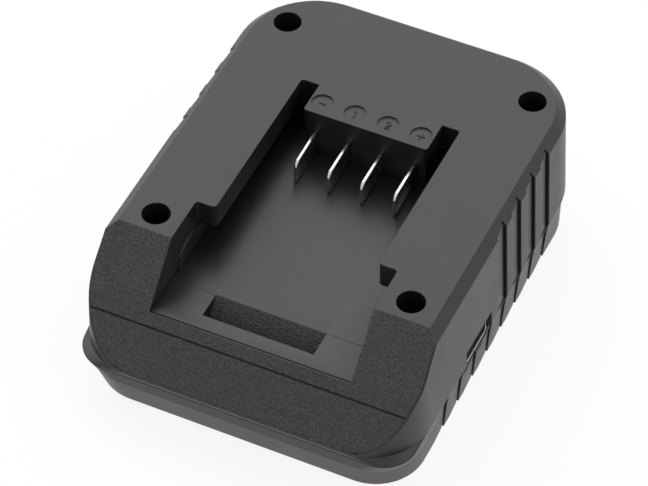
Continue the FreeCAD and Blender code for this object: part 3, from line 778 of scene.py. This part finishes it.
class DOCK_OT_inside(bpy.types.Operator):
    """Finish the circuit board and what stands on it"""

    bl_idname = "dock.inside"
    bl_label = "Circuit Board"

    def execute(self, context):
        case = context.scene.dock_case
        metal = context.scene.dock_metal
        board = plastic_material("Board Laminate", case, roughness=0.35, colour=(0.02, 0.11, 0.035))
        dress(["circuit_board", "insulating_sheet"], board)
        chip = plastic_material("Chip Resin", case, roughness=0.5, colour=(0.02, 0.02, 0.021))
        dress(["inductor_core", "thermal_pad"], chip)
        blocks = (
            "control_chip", "socket_chip", "power_transistors", "fuse", "chip_capacitors", "current_shunt",
        )
        for node in blocks:
            softened_piece(node, chip, 0.12 * MM)
        copper = metal_material("Enamelled Copper", metal.copper_colour, 0.3, (9000.0, 9000.0, 900.0))
        skin_piece(
            "inductor_wire", [winding_rings(*node_box("inductor_winding"))], copper,
            ["inductor_winding"],
        )
        can = metal_material("Can Aluminium", (0.6, 0.6, 0.62), 0.35, (9000.0, 9000.0, 900.0))
        dress(["heat_sink"], can)
        skin_piece("capacitor_cans", capacitor_shells(), can, ["filter_capacitors"])
        tin = metal_material("Lead Tin", metal.steel_colour, 0.3, (900.0, 900.0, 900.0))
        leads = lead_shells("control_chip", 8) + lead_shells("socket_chip", 4)
        skin_piece("chip_leads", leads, tin)
        return {"FINISHED"}


def direction(azimuth, elevation):
    """Unit vector at that bearing, turned from the front towards the right, and height."""
    return Vector((
        math.sin(azimuth) * math.cos(elevation),
        -math.cos(azimuth) * math.cos(elevation),
        math.sin(elevation),
    ))


def place_camera(context, stage):
    """Camera that looks at the target from the stage's bearing, height and distance."""
    back = direction(stage.azimuth, stage.elevation)
    level = Vector((math.cos(stage.azimuth), math.sin(stage.azimuth), 0.0))
    upright = back.cross(level)
    turn = Matrix.Rotation(-stage.roll, 3, "Z")
    axes = Matrix((level, upright, back)).transposed() @ turn
    data = bpy.data.cameras.new("Product Camera")
    data.lens = stage.lens
    data.sensor_width = 36.0
    data.clip_end = 10.0
    camera = bpy.data.objects.new("Product Camera", data)
    context.collection.objects.link(camera)
    camera.matrix_world = Matrix.Translation(Vector(stage.target) + back * stage.distance) @ axes.to_4x4()
    context.scene.camera = camera


def softbox(context, name, azimuth, elevation, width, height, power):
    """Area lamp that faces the middle of the case; bearing and height in degrees, power in watts."""
    low, high = CASE_BOX
    middle = (Vector(low) + Vector(high)) / 2
    away = direction(math.radians(azimuth), math.radians(elevation))
    data = bpy.data.lights.new(name, "AREA")
    data.shape = "RECTANGLE"
    data.size = width
    data.size_y = height
    data.energy = power
    lamp = bpy.data.objects.new(name, data)
    context.collection.objects.link(lamp)
    turn = away.to_track_quat("Z", "Y").to_matrix().to_4x4()
    lamp.matrix_world = Matrix.Translation(middle + away * LAMP_DISTANCE) @ turn


def white_background(tree, seen, plain):
    """Mix of a white emission for rays that look at the background, and a plain shader."""
    path = tree.nodes.new("ShaderNodeLightPath")
    looks = math_node(tree, "MAXIMUM", path.outputs["Is Camera Ray"], path.outputs["Is Glossy Ray"])
    looks = math_node(tree, "MAXIMUM", looks, path.outputs["Is Transmission Ray"])
    return add_node(tree, "ShaderNodeMixShader", i0=looks, i1=plain, i2=seen)


def build_world(context, stage):
    """White room: even light on the dock, and plain white for rays that look at it."""
    world = bpy.data.worlds.new("White Studio")
    world.use_nodes = True
    tree = world.node_tree
    output = tree.nodes["World Output"]
    plain = tree.nodes["Background"]
    plain.inputs["Color"].default_value = (1.0, 1.0, 1.0, 1.0)
    plain.inputs["Strength"].default_value = stage.ambient
    seen = add_node(tree, "ShaderNodeBackground", Color=(1.0, 1.0, 1.0, 1.0), Strength=1.0)
    mixed = white_background(tree, seen.outputs[0], plain.outputs[0])
    tree.links.new(mixed.outputs[0], output.inputs["Surface"])
    context.scene.world = world


def build_floor(context, stage):
    """Wide level sheet under the feet, white to the camera apart from a soft shadow."""
    low, high = CASE_BOX
    half = 3.0
    corners = np.array([(-half, -half), (half, -half), (half, half), (-half, half)])
    points = np.column_stack([corners, np.full(4, low[2])])
    mesh = bpy.data.meshes.new("Studio Floor")
    mesh.from_pydata(points.tolist(), [], [(0, 1, 2, 3)])
    floor = bpy.data.objects.new("studio_floor", mesh)
    context.collection.objects.link(floor)
    material, tree, shader = new_material("Studio White")
    shader.inputs["Base Color"].default_value = (0.9, 0.9, 0.9, 1.0)
    shader.inputs["Roughness"].default_value = 0.9
    glow = add_node(tree, "ShaderNodeEmission", Color=(1.0, 1.0, 1.0, 1.0), Strength=1.0)
    kept = add_node(
        tree, "ShaderNodeMixShader", i0=stage.floor_shadow, i1=glow.outputs[0], i2=shader.outputs[0]
    )
    mixed = white_background(tree, kept.outputs[0], shader.outputs[0])
    tree.links.new(mixed.outputs[0], tree.nodes["Material Output"].inputs["Surface"])
    mesh.materials.append(material)


class DOCK_OT_stage(bpy.types.Operator):
    """Set up the camera, the lamps, the white floor and the white room"""

    bl_idname = "dock.stage"
    bl_label = "Studio"

    def execute(self, context):
        stage = context.scene.dock_stage
        place_camera(context, stage)
        softbox(context, "Rear Softbox", azimuth=195.0, elevation=52.0, width=1.8, height=1.3, power=10.0)
        softbox(context, "Left Softbox", azimuth=-95.0, elevation=30.0, width=0.9, height=0.7, power=3.0)
        softbox(context, "Right Softbox", azimuth=80.0, elevation=35.0, width=0.7, height=0.7, power=2.0)
        build_floor(context, stage)
        build_world(context, stage)
        context.scene.view_settings.view_transform = "Standard"
        return {"FINISHED"}


class DOCK_PT_panel(bpy.types.Panel):
    """Buttons and values of the charging dock"""

    bl_label = "Charging Dock"
    bl_idname = "DOCK_PT_panel"
    bl_space_type = "VIEW_3D"
    bl_region_type = "UI"
    bl_category = "Charging Dock"

    def draw(self, context):
        for operator in OPERATORS:
            self.layout.operator(operator.bl_idname)
        for name, group in SETTINGS.items():
            box = self.layout.box()
            for key in group.__annotations__:
                box.prop(getattr(context.scene, name), key)


OPERATORS = (DOCK_OT_case, DOCK_OT_contacts, DOCK_OT_sockets, DOCK_OT_inside, DOCK_OT_stage)
SETTINGS = {"dock_case": CaseSettings, "dock_metal": MetalSettings, "dock_stage": StageSettings}
CLASSES = tuple(SETTINGS.values()) + OPERATORS + (DOCK_PT_panel,)


def register():
    for one in CLASSES:
        bpy.utils.register_class(one)
    for name, group in SETTINGS.items():
        setattr(bpy.types.Scene, name, PointerProperty(type=group))


def unregister():
    for name in SETTINGS:
        delattr(bpy.types.Scene, name)
    for one in reversed(CLASSES):
        bpy.utils.unregister_class(one)


def main():
    """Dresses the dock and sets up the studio."""
    register()
    bpy.ops.dock.case()
    bpy.ops.dock.contacts()
    bpy.ops.dock.sockets()
    bpy.ops.dock.inside()
    bpy.ops.dock.stage()
    bpy.context.view_layer.update()


if __name__ == "__main__":
    main()
